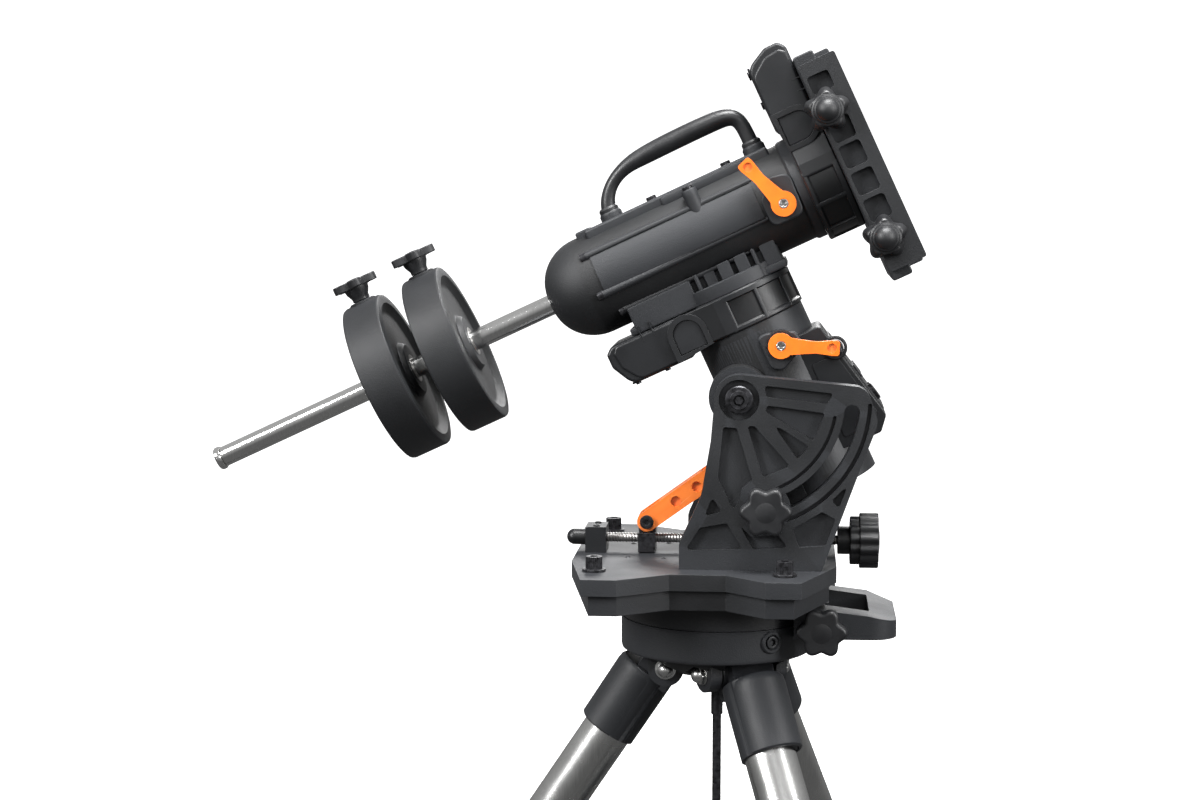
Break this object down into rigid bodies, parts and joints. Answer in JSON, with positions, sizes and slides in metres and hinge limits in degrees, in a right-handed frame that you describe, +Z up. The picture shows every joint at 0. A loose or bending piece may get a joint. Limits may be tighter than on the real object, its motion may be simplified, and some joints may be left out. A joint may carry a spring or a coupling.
{
  "type": "equatorial mount",
  "caption": "Computerised German equatorial telescope mount on a tripod: tilting polar head, counterweight bar with two discs, dovetail saddle, clutch levers and altitude screw drive",
  "frame": {"origin": "on the floor, on the azimuth axis", "axes": "+Z up, -X north (counterweight side), +X south, -Y the side of the clutch levers"},
  "size_m": [0.7829, 0.8966, 1.2956],
  "materials": {
    "black_steel": "black oxide steel",
    "brass": "machined brass",
    "casting": "fine-textured satin black powder coat over cast aluminium",
    "chrome": "polished chrome",
    "iron": "fine hammered black paint over cast iron",
    "knob": "satin black moulded plastic",
    "motor": "laminated steel motor can",
    "orange": "smooth orange enamel",
    "stainless": "polished and lightly brushed stainless steel"
  },
  "bodies": {
    "tripod": {"tripod_hub": "casting", "leg_hinge_bolts": "stainless", "centre_rod": "black_steel"},
    "leg_1": {"leg_1_bracket": "casting", "leg_1_tube": "stainless", "leg_1_clamp": "casting"},
    "leg_1_lower": {"leg_1_lower": "stainless"},
    "leg_1_clamp_knob": {"leg_1_clamp_knob": "knob"},
    "leg_2": {"leg_2_bracket": "casting", "leg_2_tube": "stainless", "leg_2_clamp": "casting"},
    "leg_2_lower": {"leg_2_lower": "stainless"},
    "leg_2_clamp_knob": {"leg_2_clamp_knob": "knob"},
    "leg_3": {"leg_3_bracket": "casting", "leg_3_tube": "stainless", "leg_3_clamp": "casting"},
    "leg_3_lower": {"leg_3_lower": "stainless"},
    "leg_3_clamp_knob": {"leg_3_clamp_knob": "knob"},
    "tray": {"spreader_tray": "casting"},
    "azimuth": {"base_casting": "casting", "azimuth_plate": "casting", "base_bolts": "black_steel", "side_plate_near": "casting", "side_plate_far": "casting", "altitude_bearing": "casting"},
    "azimuth_knob_near": {"azimuth_knob_near": "knob"},
    "azimuth_knob_far": {"azimuth_knob_far": "knob"},
    "head": {"ra_housing": "casting", "ra_rear_cover": "casting", "ra_worm_wheel": "brass"},
    "altitude_lock_near": {"altitude_lock_near": "knob"},
    "altitude_lock_far": {"altitude_lock_far": "knob"},
    "altitude_nut": {"altitude_nut": "casting"},
    "altitude_link": {"altitude_link": "orange"},
    "altitude_screw": {"altitude_screw": "black_steel", "altitude_knob": "knob"},
    "ra_clutch": {"ra_clutch_lever": "orange"},
    "dec_clutch": {"dec_clutch_lever": "orange"},
    "switch": {"power_switch": "knob"},
    "dec_body": {"dec_housing": "casting", "carry_handle": "casting", "ra_shaft": "black_steel", "ra_motor_cover": "casting", "ra_motor": "motor", "dec_worm_wheel": "brass"},
    "ra_worm": {"ra_worm": "black_steel"},
    "dec_worm": {"dec_worm": "black_steel"},
    "saddle_body": {"saddle": "casting", "dec_shaft": "black_steel", "counterweight_shaft": "chrome", "shaft_end_cap": "chrome", "dec_motor_cover": "casting", "dec_motor": "motor"},
    "jaw": {"saddle_jaw": "casting"},
    "saddle_knob_upper": {"saddle_knob_upper": "knob"},
    "saddle_knob_lower": {"saddle_knob_lower": "knob"},
    "counterweight_inner": {"counterweight_inner": "iron"},
    "counterweight_inner_knob": {"counterweight_inner_knob": "knob"},
    "counterweight_outer": {"counterweight_outer": "iron"},
    "counterweight_outer_knob": {"counterweight_outer_knob": "knob"}
  },
  "joints": [
    {"name": "leg_1_fold", "type": "hinge", "parent": "tripod", "child": "leg_1", "pos_m": [-0.05, 0, 0.67453], "axis": [0, -1, 0], "range_deg": [0, 17]},
    {"name": "leg_1_extend", "type": "slide", "parent": "leg_1", "child": "leg_1_lower", "axis": [-0.5534, 0, -0.8329], "range_m": [0, 0.33]},
    {"name": "leg_1_clamp_turn", "type": "hinge", "parent": "leg_1", "child": "leg_1_clamp_knob", "pos_m": [-0.38248, 0, 0.19308], "axis": [-0.8329, 0, 0.5534], "range_deg": [0, 360]},
    {"name": "leg_2_fold", "type": "hinge", "parent": "tripod", "child": "leg_2", "pos_m": [0.025, -0.0433, 0.67453], "axis": [0.866, 0.5, 0], "range_deg": [0, 17]},
    {"name": "leg_2_extend", "type": "slide", "parent": "leg_2", "child": "leg_2_lower", "axis": [0.2767, -0.4793, -0.8329], "range_m": [0, 0.33]},
    {"name": "leg_2_clamp_turn", "type": "hinge", "parent": "leg_2", "child": "leg_2_clamp_knob", "pos_m": [0.19124, -0.33124, 0.19308], "axis": [0.4165, -0.7213, 0.5534], "range_deg": [0, 360]},
    {"name": "leg_3_fold", "type": "hinge", "parent": "tripod", "child": "leg_3", "pos_m": [0.025, 0.0433, 0.67453], "axis": [-0.866, 0.5, 0], "range_deg": [0, 17]},
    {"name": "leg_3_extend", "type": "slide", "parent": "leg_3", "child": "leg_3_lower", "axis": [0.2767, 0.4793, -0.8329], "range_m": [0, 0.33]},
    {"name": "leg_3_clamp_turn", "type": "hinge", "parent": "leg_3", "child": "leg_3_clamp_knob", "pos_m": [0.19124, 0.33124, 0.19308], "axis": [0.4165, 0.7213, 0.5534], "range_deg": [0, 360]},
    {"name": "tray_drop", "type": "slide", "parent": "tripod", "child": "tray", "axis": [0, 0, -1], "range_m": [0, 0.4]},
    {"name": "azimuth_turn", "type": "hinge", "parent": "tripod", "child": "azimuth", "pos_m": [0, 0, 0.72393], "axis": [0, 0, 1], "range_deg": [-4, 4]},
    {"name": "azimuth_knob_near_turn", "type": "hinge", "parent": "azimuth", "child": "azimuth_knob_near", "pos_m": [0.104, 0, 0.72293], "axis": [0, -1, 0], "range_deg": [-1800, 1800]},
    {"name": "azimuth_knob_far_turn", "type": "hinge", "parent": "azimuth", "child": "azimuth_knob_far", "pos_m": [0.104, 0, 0.72293], "axis": [0, 1, 0], "range_deg": [-1800, 1800]},
    {"name": "altitude_tilt", "type": "hinge", "parent": "azimuth", "child": "head", "pos_m": [0.023, 0, 0.95153], "axis": [0, -1, 0], "range_deg": [0, 30]},
    {"name": "altitude_lock_near_turn", "type": "hinge", "parent": "head", "child": "altitude_lock_near", "pos_m": [0.04937, -0.104, 0.84576], "axis": [0, -1, 0], "range_deg": [0, 360]},
    {"name": "altitude_lock_far_turn", "type": "hinge", "parent": "head", "child": "altitude_lock_far", "pos_m": [0.04937, 0.104, 0.84576], "axis": [0, 1, 0], "range_deg": [0, 360]},
    {"name": "altitude_nut_slide", "type": "slide", "parent": "azimuth", "child": "altitude_nut", "axis": [1, 0, 0], "range_m": [0, 0.04193]},
    {"name": "altitude_link_swing", "type": "hinge", "parent": "altitude_nut", "child": "altitude_link", "pos_m": [-0.071, 0, 0.81803], "axis": [0, -1, 0], "range_deg": [0, 2.55]},
    {"name": "altitude_screw_turn", "type": "hinge", "parent": "azimuth", "child": "altitude_screw", "pos_m": [0, 0, 0.80003], "axis": [1, 0, 0], "range_deg": [0, 5032.17]},
    {"name": "ra_clutch_turn", "type": "hinge", "parent": "head", "child": "ra_clutch", "pos_m": [0.06229, -0.056, 1.00096], "axis": [0, -1, 0], "range_deg": [-70, 0]},
    {"name": "switch_rock", "type": "hinge", "parent": "head", "child": "switch", "pos_m": [0.11475, -0.0435, 0.99729], "axis": [-0.4226, 0, 0.9063], "range_deg": [-4, 4]},
    {"name": "ra_turn", "type": "hinge", "parent": "head", "child": "dec_body", "pos_m": [-0.01196, 0, 1.10813], "axis": [-0.4226, 0, 0.9063], "continuous": true},
    {"name": "dec_clutch_turn", "type": "hinge", "parent": "dec_body", "child": "dec_clutch", "pos_m": [0.06357, -0.05, 1.13783], "axis": [0, -1, 0], "range_deg": [0, 70]},
    {"name": "ra_worm_spin", "type": "hinge", "parent": "dec_body", "child": "ra_worm", "pos_m": [-0.02149, 0, 1.00173], "axis": [0, 1, 0], "continuous": true},
    {"name": "dec_turn", "type": "hinge", "parent": "dec_body", "child": "saddle_body", "pos_m": [-0.01196, 0, 1.10813], "axis": [0.9063, 0, 0.4226], "continuous": true},
    {"name": "dec_worm_spin", "type": "hinge", "parent": "saddle_body", "child": "dec_worm", "pos_m": [0.06971, 0, 1.20535], "axis": [0, 1, 0], "continuous": true},
    {"name": "jaw_slide", "type": "slide", "parent": "saddle_body", "child": "jaw", "axis": [0, -1, 0], "range_m": [0, 0.014]},
    {"name": "saddle_knob_upper_turn", "type": "hinge", "parent": "jaw", "child": "saddle_knob_upper", "pos_m": [0.10425, -0.062, 1.22686], "axis": [0, -1, 0], "range_deg": [0, 360]},
    {"name": "saddle_knob_lower_turn", "type": "hinge", "parent": "jaw", "child": "saddle_knob_lower", "pos_m": [0.16046, -0.062, 1.10632], "axis": [0, -1, 0], "range_deg": [0, 360]},
    {"name": "counterweight_inner_slide", "type": "slide", "parent": "saddle_body", "child": "counterweight_inner", "axis": [0.9063, 0, 0.4226], "range_m": [-0.016, 0.085]},
    {"name": "counterweight_inner_lock_turn", "type": "hinge", "parent": "counterweight_inner", "child": "counterweight_inner_knob", "pos_m": [-0.3008, 0, 1.06502], "axis": [-0.4226, 0, 0.9063], "range_deg": [0, 360]},
    {"name": "counterweight_outer_slide", "type": "slide", "parent": "saddle_body", "child": "counterweight_outer", "axis": [0.9063, 0, 0.4226], "range_m": [-0.175, 0.016]},
    {"name": "counterweight_outer_lock_turn", "type": "hinge", "parent": "counterweight_outer", "child": "counterweight_outer_knob", "pos_m": [-0.36062, 0, 1.03712], "axis": [-0.4226, 0, 0.9063], "range_deg": [0, 360]}
  ],
  "couplings": [
    {"joint": "leg_2_fold", "follows": "leg_1_fold", "ratio": 1},
    {"joint": "leg_3_fold", "follows": "leg_1_fold", "ratio": 1},
    {"joint": "tray_drop", "follows": "leg_1_fold", "m_per_rad": 1.3468},
    {"joint": "azimuth_knob_near_turn", "follows": "azimuth_turn", "ratio": 435.63},
    {"joint": "azimuth_knob_far_turn", "follows": "azimuth_turn", "ratio": -435.63},
    {"joint": "altitude_nut_slide", "follows": "altitude_tilt", "m_per_rad": 0.080065},
    {"joint": "altitude_link_swing", "follows": "altitude_tilt", "ratio": 0.085046},
    {"joint": "altitude_screw_turn", "follows": "altitude_tilt", "ratio": 167.71},
    {"joint": "ra_worm_spin", "follows": "ra_turn", "ratio": 144},
    {"joint": "dec_worm_spin", "follows": "dec_turn", "ratio": 144}
  ]
}
